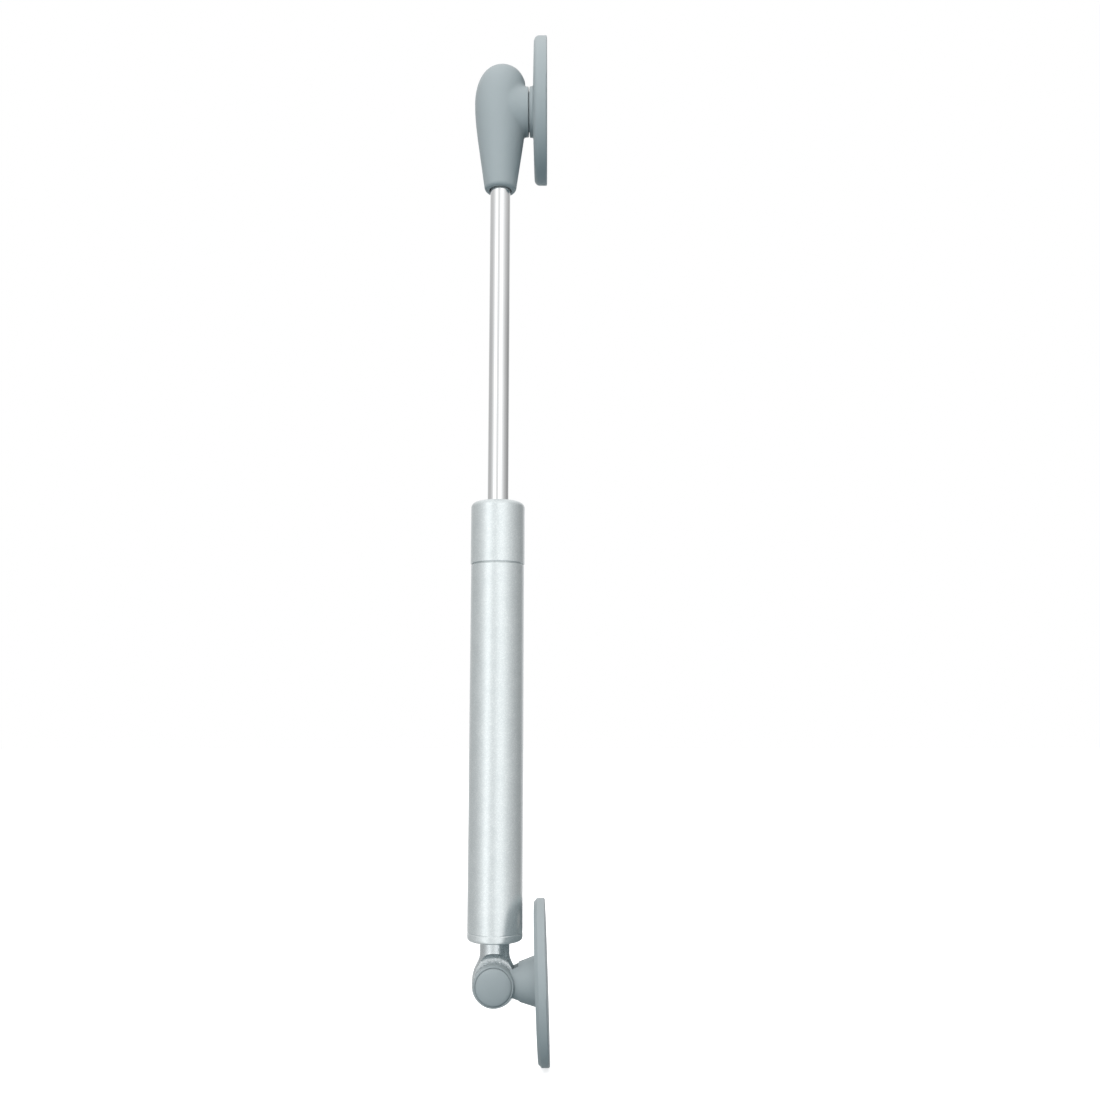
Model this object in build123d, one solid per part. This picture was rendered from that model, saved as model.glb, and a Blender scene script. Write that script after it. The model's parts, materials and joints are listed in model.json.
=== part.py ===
"""Cabinet gas spring with a round mounting plate at each end.

The origin is the centre of the side plate's back face. +X points out of that
face, into the cabinet side, and +Z runs up along the strut. All sizes are in mm.
"""

import os
from math import cos, radians, sin

from build123d import *

os.makedirs("parts", exist_ok=True)

# Fits: radial clearances, and small gaps between faces
press_gap = 0.02
run_gap = 0.05
seam_gap = 0.3

# How far a cutter runs past a face, and how near a measure counts as equal
overcut = 1.0
match_tolerance = 0.001

# Strut, measured along its axis
stroke = 88.0
stroke_clearance = 1.75
closed_gap = 7.65
housing_drop = 25.7
cap_length = 17.9
eye_drop = 10.9

# Tube and its front cap
tube_od = 15.0
tube_wall = 1.0
tube_neck_depth = 0.45
tube_lip_thickness = 0.8
tube_lip_width = 1.5
tube_roll_thickness = 1.0
tube_roll_clearance = 0.9
tube_roll_line_height = 2.0
tube_roll_line_width = 0.3
tube_roll_line_depth = 0.12
tube_edge_radius = 0.9
bead_radius = 0.45
bead_groove_radius = 0.4
bead_offset = 0.1
cap_proud = 0.15
cap_end_wall = 1.2
cap_edge_radius = 1.5
cap_hole_clearance = 0.4
seam_chamfer = 0.12

# Seal pack behind the front cap
guide_length = 6.0
guide_chamfer = 0.4
seal_length = 4.4
seal_lip_wall = 0.9
seal_groove_depth = 2.6
washer_thickness = 1.2
washer_clearance = 0.3

# Rod and piston
rod_diameter = 6.0
thread_diameter = 5.0
thread_length = 9.0
rod_chamfer = 0.6
spigot_diameter = 4.0
peen_diameter = 5.2
peen_length = 1.0
peen_chamfer = 0.3
piston_clearance = 0.15
piston_length = 6.0
piston_washer_diameter = 9.0
piston_washer_thickness = 0.8
piston_stop_gap = 0.1
piston_ring_height = 2.0
piston_ring_depth = 1.4
piston_slot_width = 0.8
piston_slot_depth = 0.5

# End plug and metal eye
plug_length = 7.0
plug_ring_diameter = 1.45
plug_ring_depth = 2.6
plug_groove_height = 2.0
shank_diameter = 5.0
shank_length = 5.0
shank_end_gap = 0.6
stem_diameter = 8.0
eye_diameter = 12.2
eye_thickness = 5.0
eye_flat_radius = 6.5
eye_shoulder_radius = 1.6
eye_flare_diameter = 10.3
eye_flare_height = 4.4
eye_neck_height = 7.8

# Rod-end housing, a tapered plastic head with a round collar on one side
head_diameter = 15.8
head_rise = 14.4
head_belly = 2.2
crown_radius = 6.05
crown_height = 11.45
flank_diameter = 13.75
flank_drop = 9.8
housing_end_diameter = 9.3
housing_edge_radius = 1.2
housing_taper = 0.14
collar_diameter = 14.4
collar_proud = 0.5
collar_flare = 0.6
collar_flare_length = 5.4
collar_flare_slope = 0.45
collar_edge_radius = 0.35
collar_blend_radius = 0.8
rod_recess_diameter = 6.7
rod_recess_depth = 1.6
insert_diameter = 8.0
insert_below_clip = 2.5
knurl_groove_depth = 0.6
knurl_groove_width = 1.6

# Pivot stud and its retaining clip
stud_diameter = 6.0
stud_head_diameter = 9.0
stud_head_thickness = 1.6
stud_head_depth = 0.1
stud_reach = 5.6
stud_chamfer = 0.6
clip_wire_thickness = 0.9
clip_width = 1.5
clip_depth = 0.55
clip_mouth = 3.0
clip_reach = 2.0
bore_end_gap = 0.4

# Mounting plates
plate_diameter = 42.5
side_plate_thickness = 4.2
side_plate_dome = 0.4
side_plate_edge_radius = 1.6
plate_back_radius = 0.4
hub_height = 1.1
hub_proud = 0.1
hub_root_radius = 0.5
hub_seat_inset = 1.5
door_plate_thickness = 3.0
door_plate_chamfer = 0.9
screw_inset = 6.25
screw_count = 3
first_screw_angle = 180.0
screw_hole_diameter = 4.3
screw_head_diameter = 8.4

# Door plate's arm, clevis and pin
door_lean = 2.0
door_plate_reach = 14.2
arm_tip_diameter = 5.8
arm_root_diameter = 13.2
arm_root_radius = 0.4
cheek_diameter = 11.6
front_cheek_diameter = 10.9
cheek_face = 6.0
cheek_gap = 0.1
cheek_taper = 0.25
cheek_taper_length = 0.6
cheek_chamfer = 1.0
slot_clearance = 0.5
pin_diameter = 5.5
pin_head_diameter = 9.6
pin_head_rim = 0.45
pin_head_dome = 0.65
pin_head_edge_radius = 0.25
pin_head_seat = 0.3
pin_head_clearance = 0.16
pin_tip_gap = 0.25
pin_slot_width = 1.0
pin_slot_depth = 5.0
pin_turn = 18.0
barb_height = 0.25
barb_length = 0.9
barb_ledge = 1.5
tip_recess_clearance = 0.3

# Places out from the strut's axis, and the radii that several pieces share
collar_reach = head_diameter / 2 + collar_proud
strut_offset = collar_reach + seam_gap + hub_height + side_plate_thickness
stud_length = strut_offset + stud_reach
clip_distance = strut_offset + clip_reach
tube_bore_radius = tube_od / 2 - tube_wall
tube_neck_radius = tube_od / 2 - tube_neck_depth
cap_radius = tube_od / 2 + cap_proud
piston_radius = tube_bore_radius - piston_clearance
insert_radius = insert_diameter / 2
hub_radius = collar_diameter / 2 + hub_proud
screw_circle_radius = plate_diameter / 2 - screw_inset

# Places along the strut at full extension, from the pivot at z = 0 downwards
housing_end_z = -housing_drop
cap_top_z = housing_end_z - closed_gap - stroke
cap_bottom_z = cap_top_z - cap_length
tube_top_z = cap_top_z - cap_end_wall

guide_top_z = tube_top_z - tube_lip_thickness
seal_top_z = guide_top_z - guide_length
washer_top_z = seal_top_z - seal_length
bead_z = washer_top_z - washer_thickness - bead_radius

piston_top_z = bead_z - bead_radius - piston_stop_gap
rod_shoulder_z = piston_top_z + piston_washer_thickness
piston_bottom_z = piston_top_z - piston_length
peen_top_z = piston_bottom_z - piston_washer_thickness
rod_end_z = peen_top_z - peen_length
piston_ring_z = (piston_top_z + piston_bottom_z) / 2

plug_top_z = rod_end_z - stroke - stroke_clearance
plug_bottom_z = plug_top_z - plug_length
plug_ring_z = plug_top_z - plug_ring_depth
tube_bottom_z = plug_bottom_z - tube_roll_thickness
pin_z = tube_bottom_z - eye_drop

recess_top_z = housing_end_z + rod_recess_depth
insert_top_z = -(stud_diameter / 2 + clip_width + insert_below_clip)
insert_bottom_z = insert_top_z - thread_length


def ring(outer_radius, inner_radius, low, high):
    """A round piece about Z between two heights, bored right through unless the bore is 0."""
    body = Cylinder(outer_radius, high - low, align=(Align.CENTER, Align.CENTER, Align.MIN))
    if inner_radius > 0:
        body -= Cylinder(inner_radius, high - low, align=(Align.CENTER, Align.CENTER, Align.MIN))
    return Pos(0, 0, low) * body


def turned(*outline):
    """A closed outline of (radius, height) points turned about Z."""
    points = [(radius, 0, height) for radius, height in outline]
    return revolve(make_face(Polyline(*points, close=True)), Axis.Z)


def circles(shape, radius, height):
    """The round edges of a shape about Z with this radius at this height."""
    return shape.edges().filter_by(
        lambda edge: edge.geom_type == GeomType.CIRCLE
        and abs(edge.radius - radius) < match_tolerance
        and abs(edge.center().Z - height) < match_tolerance
    )


def meeting_edges(fused, first, second):
    """The edges of a fused shape along which the skins of its two pieces meet."""
    skins = [Compound(first.faces()), Compound(second.faces())]

    def on_both(edge):
        middle = Vertex(edge.position_at(0.5))
        return all(middle.distance_to(skin) < match_tolerance for skin in skins)

    return fused.edges().filter_by(on_both)


def along_x(shape):
    """Turns a piece made about Z so that its +Z points along +X."""
    return Rot(0, 90, 0) * shape


def along_y(shape):
    """Turns a piece made about Z so that its +Z points along +Y."""
    return Rot(-90, 0, 0) * shape


def screw_holes(thickness):
    """Countersunk screw holes through a plate that is this thick where they sit, with its back at z = 0."""
    hole_radius = screw_hole_diameter / 2
    head_radius = screw_head_diameter / 2
    depth = head_radius - hole_radius
    cutter = turned(
        (0, -thickness - overcut),
        (head_radius + overcut, -thickness - overcut),
        (head_radius, -thickness),
        (hole_radius, depth - thickness),
        (hole_radius, overcut),
        (0, overcut),
    )
    places = PolarLocations(screw_circle_radius, screw_count, start_angle=first_screw_angle)
    return Compound([place * cutter for place in places])


def make_side_plate():
    """Round plate that falls a little from its hub to its rim; made about Z with its back at z = 0.

    The hub ends in a low seat, on which the head's collar turns.
    """
    radius = plate_diameter / 2
    front = -side_plate_thickness
    rim_front = front + side_plate_dome
    plate = turned((0, 0), (radius, 0), (radius, rim_front), (hub_radius, front), (0, front))
    plate = fillet(circles(plate, radius, rim_front), side_plate_edge_radius)
    plate = fillet(circles(plate, radius, 0), plate_back_radius)
    hub_front = front - hub_height
    plate += ring(hub_radius, 0, hub_front, front)
    plate = fillet(circles(plate, hub_radius, front), hub_root_radius)
    plate = fillet(circles(plate, hub_radius, hub_front), collar_edge_radius)
    seat_front = hub_front - seam_gap + run_gap
    plate += ring(hub_radius - hub_seat_inset, 0, seat_front, hub_front)
    plate -= ring(stud_diameter / 2 + press_gap, 0, seat_front - overcut, 0)
    head_bottom = -stud_head_depth - stud_head_thickness
    plate -= ring(stud_head_diameter / 2 + press_gap, 0, head_bottom, overcut)
    fall = side_plate_dome * (screw_circle_radius - hub_radius) / (radius - hub_radius)
    plate -= screw_holes(side_plate_thickness - fall)
    return along_x(plate)


def make_pivot_stud():
    """Headed steel stud, pressed in from the plate's back, with a groove for the clip."""
    radius = stud_diameter / 2
    head_bottom = -stud_head_depth - stud_head_thickness
    stud = ring(stud_head_diameter / 2, 0, head_bottom, -stud_head_depth)
    stud += ring(radius, 0, -stud_length, head_bottom)
    stud = chamfer(circles(stud, radius, -stud_length), stud_chamfer)
    groove_high = -clip_distance + run_gap
    groove_low = -clip_distance - clip_wire_thickness - run_gap
    stud -= ring(radius + overcut, radius - clip_depth, groove_low, groove_high)
    return along_x(stud)


def make_stud_clip():
    """Open spring ring that snaps into the stud's groove and sits in the housing's pocket."""
    inner = stud_diameter / 2 - clip_depth + run_gap
    low = -clip_distance - clip_wire_thickness
    clip = ring(inner + clip_width, inner, low, -clip_distance)
    mouth = Box(
        clip_mouth,
        inner + clip_width + overcut,
        2 * (clip_wire_thickness + overcut),
        align=(Align.CENTER, Align.MIN, Align.CENTER),
    )
    clip -= Pos(0, 0, low) * mouth
    return along_x(clip)


def housing_profile():
    """Half section of the tapered head: a domed crown, the widest belly, then a taper that steepens."""
    head_radius = head_diameter / 2
    end_radius = housing_end_diameter / 2
    top = (0, 0, head_rise)
    belly = (head_radius, 0, head_belly)
    waist = (flank_diameter / 2, 0, -flank_drop)
    foot = (end_radius, 0, housing_end_z)
    crown = Spline(top, (crown_radius, 0, crown_height), belly, tangents=[(1, 0, 0), (0, 0, -1)])
    flank = Spline(belly, waist, foot, tangents=[(0, 0, -1), (-housing_taper, 0, -1)])
    base = Line(foot, (0, 0, housing_end_z))
    middle = Line((0, 0, housing_end_z), top)
    return make_face([crown, flank, base, middle])


def housing_collar():
    """Round collar towards the plate, flaring where it leaves the head; made about Z."""
    radius = collar_diameter / 2
    start = (0, 0, 0)
    flare_foot = (radius + collar_flare, 0, collar_reach - collar_flare_length)
    flare_end = (radius, 0, collar_reach - collar_edge_radius)
    outline = [
        Line(start, (radius + collar_flare, 0, 0)),
        Line((radius + collar_flare, 0, 0), flare_foot),
        Spline(flare_foot, flare_end, tangents=[(-collar_flare_slope, 0, 1), (0, 0, 1)]),
        Line(flare_end, (radius, 0, collar_reach)),
        Line((radius, 0, collar_reach), (0, 0, collar_reach)),
        Line((0, 0, collar_reach), start),
    ]
    return revolve(make_face(outline), Axis.Z)


def make_rod_end_housing():
    """Plastic head on the rod's end: it turns on the stud and holds the rod's insert."""
    head = revolve(housing_profile(), Axis.Z)
    head = fillet(circles(head, housing_end_diameter / 2, housing_end_z), housing_edge_radius)
    collar = along_x(housing_collar())
    housing = head + collar
    housing = fillet(meeting_edges(housing, head, collar), collar_blend_radius)
    housing -= ring(rod_recess_diameter / 2, 0, housing_end_z - overcut, recess_top_z)
    housing -= ring(rod_diameter / 2 + press_gap, 0, recess_top_z, insert_bottom_z)
    housing -= ring(insert_radius + press_gap, 0, insert_bottom_z, insert_top_z)
    bore_end = strut_offset - stud_length - bore_end_gap
    bore = ring(stud_diameter / 2 + run_gap, 0, bore_end, collar_reach + overcut)
    pocket_radius = stud_diameter / 2 - clip_depth + run_gap + clip_width + seam_gap
    pocket_high = strut_offset - clip_distance + run_gap
    pocket_low = pocket_high - clip_wire_thickness - 2 * run_gap
    housing -= along_x(bore + ring(pocket_radius, 0, pocket_low, pocket_high))
    return housing


def make_rod_insert():
    """Threaded brass insert moulded into the head, with a knurl relief groove."""
    insert = ring(insert_radius, thread_diameter / 2 + press_gap, insert_bottom_z, insert_top_z)
    low = (insert_bottom_z + insert_top_z - knurl_groove_width) / 2
    groove_radius = insert_radius - knurl_groove_depth
    return insert - ring(insert_radius + overcut, groove_radius, low, low + knurl_groove_width)


def make_rod():
    """Chromed rod: threaded top end, long shaft, and a spigot peened over below the piston."""
    radius = rod_diameter / 2
    rod = ring(radius, 0, rod_shoulder_z, insert_bottom_z)
    rod += ring(thread_diameter / 2, 0, insert_bottom_z, insert_top_z)
    rod = chamfer(circles(rod, thread_diameter / 2, insert_top_z), rod_chamfer)
    rod += ring(spigot_diameter / 2, 0, peen_top_z, rod_shoulder_z)
    rod += ring(peen_diameter / 2, 0, rod_end_z, peen_top_z)
    return chamfer(circles(rod, peen_diameter / 2, rod_end_z), peen_chamfer)


def make_piston_washer(low):
    """Flat steel washer on the rod's spigot."""
    inner = spigot_diameter / 2 + press_gap
    return ring(piston_washer_diameter / 2, inner, low, low + piston_washer_thickness)


def make_piston():
    """Piston with a groove for its ring and a small notch that lets gas and oil pass."""
    inner = spigot_diameter / 2 + press_gap
    piston = ring(piston_radius, inner, piston_bottom_z, piston_top_z)
    half = piston_ring_height / 2 + run_gap
    groove_radius = piston_radius - piston_ring_depth
    piston -= ring(piston_radius + overcut, groove_radius, piston_ring_z - half, piston_ring_z + half)
    notch = Box(2 * piston_slot_depth, piston_slot_width, piston_length + overcut)
    return piston - Pos(piston_radius, 0, piston_ring_z) * notch


def make_piston_ring():
    """Ring that seals the piston in the tube and turns on it with the tube."""
    half = piston_ring_height / 2
    inner = piston_radius - piston_ring_depth + run_gap
    outer = tube_bore_radius - run_gap
    return ring(outer, inner, piston_ring_z - half, piston_ring_z + half)


def make_tube():
    """Pressure tube: reduced neck under the cap, inward lip, bead, and a rolled lower end."""
    radius = tube_od / 2
    bore = tube_bore_radius
    shoulder = cap_bottom_z - seam_gap / 2
    lip_low = tube_top_z - tube_lip_thickness
    tube = ring(radius, bore, plug_bottom_z, shoulder)
    roll_radius = stem_diameter / 2 + tube_roll_clearance
    tube += ring(radius, roll_radius, tube_bottom_z, plug_bottom_z)
    tube = fillet(circles(tube, radius, tube_bottom_z), tube_edge_radius)
    line_low = tube_bottom_z + tube_roll_line_height
    line_high = line_low + tube_roll_line_width
    tube -= ring(radius + overcut, radius - tube_roll_line_depth, line_low, line_high)
    tube = chamfer(circles(tube, radius, shoulder), seam_chamfer)
    tube += ring(tube_neck_radius, bore, shoulder, lip_low)
    tube += ring(tube_neck_radius, bore - tube_lip_width, lip_low, tube_top_z)
    bead = Torus(bore + bead_offset, bead_radius)
    groove = Torus(tube_neck_radius + bead_offset, bead_groove_radius)
    tube += Pos(0, 0, bead_z) * bead
    return tube - Pos(0, 0, bead_z) * groove


def make_front_cap():
    """Painted sleeve pressed over the tube's neck, with a rounded shoulder and the rod's hole."""
    low = cap_bottom_z + seam_gap / 2
    cap = ring(cap_radius, 0, low, cap_top_z)
    cap = fillet(circles(cap, cap_radius, cap_top_z), cap_edge_radius)
    cap = chamfer(circles(cap, cap_radius, low), seam_chamfer)
    cap -= ring(tube_neck_radius + press_gap, 0, low, tube_top_z)
    return cap - ring(rod_diameter / 2 + cap_hole_clearance, 0, tube_top_z, cap_top_z)


def make_rod_guide():
    """Bush that guides the rod, held under the tube's lip."""
    outer = tube_bore_radius - press_gap
    guide = ring(outer, rod_diameter / 2 + run_gap, seal_top_z, guide_top_z)
    return chamfer(circles(guide, outer, guide_top_z), guide_chamfer)


def make_rod_seal():
    """Rubber seal with an inner lip on the rod and an outer lip on the tube."""
    outer = tube_bore_radius - press_gap
    inner = rod_diameter / 2 + press_gap
    groove_top = washer_top_z + seal_groove_depth
    groove_mid = (inner + outer) / 2
    return turned(
        (inner, seal_top_z),
        (outer, seal_top_z),
        (outer, washer_top_z),
        (outer - seal_lip_wall, washer_top_z),
        (groove_mid, groove_top),
        (inner + seal_lip_wall, washer_top_z),
        (inner, washer_top_z),
    )


def make_seal_washer():
    """Steel washer that backs the seal and rests on the tube's bead."""
    outer = tube_bore_radius - run_gap
    inner = rod_diameter / 2 + washer_clearance
    return ring(outer, inner, washer_top_z - washer_thickness, washer_top_z)


def make_end_plug():
    """Plug that closes the tube's lower end, with a groove for its O-ring."""
    outer = tube_bore_radius - press_gap
    plug = ring(outer, 0, plug_bottom_z, plug_top_z)
    half = plug_groove_height / 2
    groove_radius = outer - plug_ring_diameter
    plug -= ring(outer + overcut, groove_radius, plug_ring_z - half, plug_ring_z + half)
    shank_top = plug_bottom_z + shank_length
    return plug - ring(shank_diameter / 2 + press_gap, 0, plug_bottom_z, shank_top)


def make_plug_o_ring():
    """O-ring in the plug's groove."""
    section = plug_ring_diameter / 2
    return Pos(0, 0, plug_ring_z) * Torus(tube_bore_radius - press_gap - section, section)


def eye_turning():
    """The eye before it is milled: a round stem that flares to the eye's width; the pin is the origin."""
    stem_radius = stem_diameter / 2
    eye_radius = eye_diameter / 2
    stem_top = plug_bottom_z - pin_z
    foot = (eye_radius, 0, -eye_radius)
    widest = (eye_radius, 0, 0)
    middle = (eye_flare_diameter / 2, 0, eye_flare_height)
    neck = (stem_radius, 0, eye_neck_height)
    top = (stem_radius, 0, stem_top)
    outline = [
        Line((0, 0, -eye_radius), foot),
        Line(foot, widest),
        Spline(widest, middle, neck, tangents=[(0, 0, 1), (0, 0, 1)]),
        Line(neck, top),
        Line(top, (0, 0, stem_top)),
        Line((0, 0, stem_top), (0, 0, -eye_radius)),
    ]
    return revolve(make_face(outline), Axis.Z)


def eye_flats():
    """What milling round the pin's axis leaves: two flats, each inside a hollow round shoulder."""
    half = eye_thickness / 2
    radius = eye_shoulder_radius
    flat = eye_flat_radius
    reach = eye_diameter + plug_bottom_z - pin_z
    half_way = radians(45)
    sink = radius * (1 - cos(half_way))
    rise = radius * sin(half_way)
    outline = [Line((0, 0, -half), (0, 0, half))]
    for side in (-1, 1):
        flat_edge = (flat, 0, side * half)
        hollow = (flat + rise, 0, side * (half + sink))
        shoulder = (flat + radius, 0, side * (half + radius))
        outline.append(Line((0, 0, side * half), flat_edge))
        outline.append(ThreePointArc(flat_edge, hollow, shoulder))
        outline.append(Line(shoulder, (reach, 0, side * (half + radius))))
    outline.append(Line((reach, 0, -half - radius), (reach, 0, half + radius)))
    return along_y(revolve(make_face(outline), Axis.Z))


def make_end_eye():
    """Metal eye: a flared stem, milled flat on both sides and rounded at its foot, on a threaded shank."""
    eye_radius = eye_diameter / 2
    half = eye_thickness / 2
    stem_top = plug_bottom_z - pin_z
    eye = eye_turning() & eye_flats()
    above = Pos(0, 0, stem_top / 2) * Box(eye_diameter, eye_diameter, stem_top)
    eye &= along_y(ring(eye_radius, 0, -eye_radius, eye_radius)) + above
    shank_top = stem_top + shank_length - shank_end_gap
    eye += ring(shank_diameter / 2, 0, stem_top, shank_top)
    eye -= along_y(ring(pin_diameter / 2 + run_gap, 0, -half - overcut, half + overcut))
    return Pos(0, 0, pin_z) * eye


def cheek_profile():
    """Both clevis cheeks as one turned piece about Z: a smaller one in front, a bevelled one behind."""
    radius = cheek_diameter / 2
    front_radius = front_cheek_diameter / 2
    front = -cheek_face
    return turned(
        (0, front),
        (front_radius - cheek_taper, front),
        (front_radius, front + cheek_taper_length),
        (front_radius, 0),
        (radius, 0),
        (radius, cheek_face - cheek_chamfer),
        (radius - cheek_chamfer, cheek_face),
        (0, cheek_face),
    )


def make_door_plate():
    """Round plate with an arm and two clevis cheeks; made with the pin at the origin."""
    radius = plate_diameter / 2
    back = door_plate_reach
    front = back - door_plate_thickness
    plate = ring(radius, 0, -door_plate_thickness, 0)
    plate = chamfer(circles(plate, radius, -door_plate_thickness), door_plate_chamfer)
    plate = fillet(circles(plate, radius, 0), plate_back_radius)
    plate -= screw_holes(door_plate_thickness)
    plate = Pos(back, 0, 0) * along_x(plate)
    arm = Cone(
        arm_tip_diameter / 2,
        arm_root_diameter / 2,
        front,
        align=(Align.CENTER, Align.CENTER, Align.MIN),
    )
    plate += along_x(arm)
    root = plate.edges().filter_by(
        lambda edge: edge.geom_type == GeomType.CIRCLE
        and abs(edge.radius - arm_root_diameter / 2) < match_tolerance
        and abs(edge.center().X - front) < match_tolerance
    )
    plate = fillet(root, arm_root_radius)
    plate += along_y(cheek_profile())
    slot_floor = eye_diameter / 2 + slot_clearance
    slot = Box(
        2 * slot_floor,
        eye_thickness + 2 * cheek_gap,
        arm_root_diameter + 2 * overcut,
    )
    plate -= slot
    recess_radius = pin_diameter / 2 + barb_height + tip_recess_clearance
    recess_floor = cheek_face - barb_ledge
    tip_recess = ring(recess_radius, 0, recess_floor, cheek_face + overcut)
    bore_radius = pin_diameter / 2 + press_gap
    bore = ring(bore_radius, 0, -cheek_face - overcut, cheek_face + overcut)
    seat_radius = pin_head_diameter / 2 + pin_head_clearance
    head_seat = ring(seat_radius, 0, -cheek_face - overcut, -cheek_face + pin_head_seat)
    return plate - along_y(bore + tip_recess + head_seat)


def make_clevis_pin():
    """Plastic pin: domed head, plain shank, and a split tip with a barb that snaps in."""
    radius = pin_diameter / 2
    head_radius = pin_head_diameter / 2
    front = -cheek_face
    tip = cheek_face - pin_tip_gap
    dome_radius = (head_radius**2 + pin_head_dome**2) / (2 * pin_head_dome)
    dome_base = front - pin_head_rim
    seat = front + pin_head_seat
    head = ring(head_radius, 0, dome_base - pin_head_dome, seat)
    head &= Pos(0, 0, dome_base - pin_head_dome + dome_radius) * Sphere(dome_radius)
    head = fillet(circles(head, head_radius, dome_base), pin_head_edge_radius)
    shank = ring(radius, 0, seat, tip)
    ledge = cheek_face - barb_ledge + run_gap
    barb = turned(
        (0, ledge),
        (radius + barb_height, ledge),
        (radius, ledge + barb_length),
        (0, ledge + barb_length),
    )
    pin = head + shank + barb
    slot = Box(
        pin_diameter + 2 * overcut,
        pin_slot_width,
        pin_slot_depth + overcut,
        align=(Align.CENTER, Align.CENTER, Align.MIN),
    )
    slot = Pos(0, 0, tip - pin_slot_depth) * slot
    pin -= slot
    pin -= Rot(0, 0, 90) * slot
    return along_y(Rot(0, 0, pin_turn) * pin)


def on_strut(shape):
    """Moves a piece made about Z onto the strut's axis."""
    return Pos(-strut_offset, 0, 0) * shape


def on_pin(shape):
    """Moves a door-plate piece to the pin, with the lean at which the plate hangs."""
    return Pos(-strut_offset, 0, pin_z) * Rot(0, -door_lean, 0) * shape


pieces = {
    "side_plate": make_side_plate(),
    "pivot_stud": make_pivot_stud(),
    "rod_end_housing": on_strut(make_rod_end_housing()),
    "stud_clip": make_stud_clip(),
    "rod_insert": on_strut(make_rod_insert()),
    "rod": on_strut(make_rod()),
    "piston_upper_washer": on_strut(make_piston_washer(piston_top_z)),
    "piston": on_strut(make_piston()),
    "piston_ring": on_strut(make_piston_ring()),
    "piston_lower_washer": on_strut(make_piston_washer(peen_top_z)),
    "tube": on_strut(make_tube()),
    "front_cap": on_strut(make_front_cap()),
    "rod_guide": on_strut(make_rod_guide()),
    "rod_seal": on_strut(make_rod_seal()),
    "seal_washer": on_strut(make_seal_washer()),
    "end_plug": on_strut(make_end_plug()),
    "plug_o_ring": on_strut(make_plug_o_ring()),
    "end_eye": on_strut(make_end_eye()),
    "door_plate": on_pin(make_door_plate()),
    "clevis_pin": on_pin(make_clevis_pin()),
}

for name, piece in pieces.items():
    export_step(piece, f"parts/{name}.step")

lean = radians(door_lean)
door_back_x = door_plate_reach * cos(lean) - strut_offset
door_back_z = pin_z + door_plate_reach * sin(lean)
print(f"stroke {stroke:.2f}, pin at z {pin_z:.2f}, piston ring at z {piston_ring_z:.2f}")
print(f"tube below the cap {cap_bottom_z - tube_bottom_z:.2f}, strut offset {strut_offset:.2f}")
print(f"door plate's back face centre at x {door_back_x:.3f}, z {door_back_z:.3f}")
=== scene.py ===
# %% [markdown]
# # A cabinet gas spring
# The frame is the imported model: 20 solid pieces at their real size, on five bodies that
# turn and slide. This notebook gives each of them its surface: moulded grey plastic,
# silver paint with a fine sparkle, chrome, and bright zinc. Nothing here moves a piece.

import json
from math import radians

import bmesh
import bpy
import numpy as np
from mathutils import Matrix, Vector

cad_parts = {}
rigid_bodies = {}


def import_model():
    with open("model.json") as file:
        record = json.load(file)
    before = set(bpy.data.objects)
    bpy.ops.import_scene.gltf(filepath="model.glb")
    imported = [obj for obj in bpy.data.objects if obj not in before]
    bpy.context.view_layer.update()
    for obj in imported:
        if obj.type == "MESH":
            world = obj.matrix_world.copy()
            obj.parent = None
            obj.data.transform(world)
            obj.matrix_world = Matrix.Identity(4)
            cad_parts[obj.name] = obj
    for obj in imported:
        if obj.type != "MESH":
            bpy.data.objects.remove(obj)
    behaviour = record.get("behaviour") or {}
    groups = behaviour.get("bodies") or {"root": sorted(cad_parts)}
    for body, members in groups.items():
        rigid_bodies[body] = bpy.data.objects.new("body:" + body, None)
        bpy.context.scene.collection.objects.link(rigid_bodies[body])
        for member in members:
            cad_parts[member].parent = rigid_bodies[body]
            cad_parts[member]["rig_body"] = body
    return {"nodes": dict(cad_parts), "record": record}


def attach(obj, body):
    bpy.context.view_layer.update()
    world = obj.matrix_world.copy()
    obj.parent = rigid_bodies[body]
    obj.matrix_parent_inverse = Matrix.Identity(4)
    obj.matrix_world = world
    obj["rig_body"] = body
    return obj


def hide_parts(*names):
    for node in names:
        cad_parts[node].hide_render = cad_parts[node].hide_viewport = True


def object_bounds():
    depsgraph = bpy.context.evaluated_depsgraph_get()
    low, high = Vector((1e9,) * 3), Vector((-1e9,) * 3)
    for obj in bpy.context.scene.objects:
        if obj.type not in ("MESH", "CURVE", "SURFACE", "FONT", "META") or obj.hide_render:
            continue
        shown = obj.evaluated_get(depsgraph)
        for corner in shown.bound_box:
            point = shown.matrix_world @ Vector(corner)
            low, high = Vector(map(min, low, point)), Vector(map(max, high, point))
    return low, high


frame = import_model()
nodes = frame["nodes"]
cad_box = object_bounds()
MM = 0.001


def new_object(name, data):
    """An object with that mesh, lamp or camera, linked to the scene."""
    made = bpy.data.objects.new(name, data)
    bpy.context.scene.collection.objects.link(made)
    return made


# %% [markdown]
# ## The camera
# The strut hangs straight down in the picture, and the lower plate looks larger than the
# upper one, so the camera stands near the lower end and looks up a little. Fitting the
# widths of the tube and the plates along the height gives the distance and the tilt. A
# longer lens from further away would show both plates alike, so the lens is a short one.

# %% Camera
CAMERA_PLACE = (0.0009, -0.30965, -0.1843)
CAMERA_TILT = 9.06
FOCAL_LENGTH = 36
SENSOR_WIDTH = 36
NEAREST_SEEN = 0.01

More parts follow.
